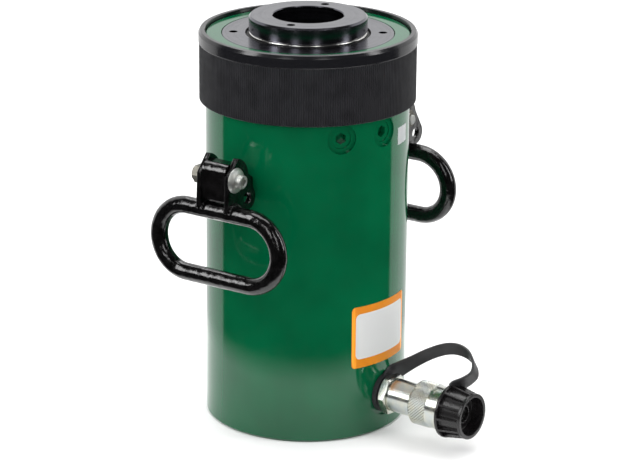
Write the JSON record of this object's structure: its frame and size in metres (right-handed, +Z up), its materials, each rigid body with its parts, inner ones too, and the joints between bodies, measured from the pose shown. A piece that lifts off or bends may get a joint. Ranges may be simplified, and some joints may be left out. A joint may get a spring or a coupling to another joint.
{
  "type": "single-acting hydraulic cylinder",
  "caption": "Hollow-plunger hydraulic jack cylinder with spring return, swinging lift handles, ribbed thread protector, saddle and a quick coupler with tethered dust cap.",
  "frame": {"origin": "centre of the base face, on the cylinder's axis", "axes": "+Z up along the cylinder's axis, the hose coupler points along -Y, the handles hang on -X and +X"},
  "size_m": [0.2585, 0.2475, 0.324],
  "materials": {
    "green_paint": "gloss",
    "machined_steel": "turned",
    "black_rubber": "matte",
    "black_oxide": "satin black oxide",
    "bronze": "turned",
    "spring_steel": "oiled",
    "black_paint": "gloss black",
    "zinc_plate": "clear zinc plate",
    "tether_plastic": "matte",
    "hard_chrome": "polished",
    "urethane": "satin",
    "black_coat": "satin black",
    "cap_plastic": "satin black"
  },
  "bodies": {
    "cylinder": {"cylinder_body": "green_paint", "center_tube": "machined_steel", "center_tube_seal": "black_rubber", "gland_ring": "black_oxide", "gland_bearing": "bronze", "rod_wiper": "black_rubber", "return_spring": "spring_steel", "vent_plug": "green_paint", "bleed_plug": "green_paint", "left_handle_lug": "black_paint", "right_handle_lug": "black_paint", "coupler_body": "zinc_plate", "sleeve_snap_ring": "spring_steel", "coupler_valve_spring": "spring_steel", "strap_ring": "tether_plastic", "cap_strap": "tether_plastic"},
    "plunger": {"plunger": "hard_chrome", "saddle": "black_oxide", "piston_seal": "urethane", "piston_wear_ring": "urethane", "tube_lip_seal": "urethane"},
    "thread_protector": {"thread_protector": "black_coat"},
    "left_handle": {"left_handle_front_ear": "black_paint", "left_handle_rear_ear": "black_paint", "left_handle_grip": "black_paint", "left_handle_bolt": "zinc_plate", "left_handle_nut": "zinc_plate"},
    "right_handle": {"right_handle_front_ear": "black_paint", "right_handle_rear_ear": "black_paint", "right_handle_grip": "black_paint", "right_handle_bolt": "zinc_plate", "right_handle_nut": "zinc_plate"},
    "coupler_sleeve": {"coupler_sleeve": "zinc_plate"},
    "coupler_poppet": {"coupler_poppet": "machined_steel"},
    "dust_cap": {"dust_cap": "cap_plastic"}
  },
  "joints": [
    {"name": "plunger_stroke", "type": "slide", "parent": "cylinder", "child": "plunger", "axis": [0, 0, 1], "range_m": [0, 0.1524], "stiffness_N_per_m": 1200, "springref_m": -0.25, "deforming": ["return_spring"]},
    {"name": "protector_lift_off", "type": "slide", "parent": "cylinder", "child": "thread_protector", "axis": [0, 0, 1], "range_m": [0, 0.06]},
    {"name": "left_handle_swing", "type": "hinge", "parent": "cylinder", "child": "left_handle", "pos_m": [-0.1086, 0, 0.2188], "axis": [-0.0628, 0.998, 0], "range_deg": [-1.5, 187]},
    {"name": "right_handle_swing", "type": "hinge", "parent": "cylinder", "child": "right_handle", "pos_m": [0.1086, 0, 0.2188], "axis": [0.0628, -0.998, 0], "range_deg": [-17, 177]},
    {"name": "sleeve_turn", "type": "hinge", "parent": "cylinder", "child": "coupler_sleeve", "pos_m": [0, -0.13, 0.031], "axis": [0, -1, 0], "continuous": true},
    {"name": "poppet_push", "type": "slide", "parent": "cylinder", "child": "coupler_poppet", "axis": [0, 1, 0], "range_m": [0, 0.003], "stiffness_N_per_m": 2000, "springref_m": -0.006, "deforming": ["coupler_valve_spring"]},
    {"name": "cap_pull_off", "type": "slide", "parent": "cylinder", "child": "dust_cap", "axis": [0, -1, 0], "range_m": [0, 0.025]}
  ]
}
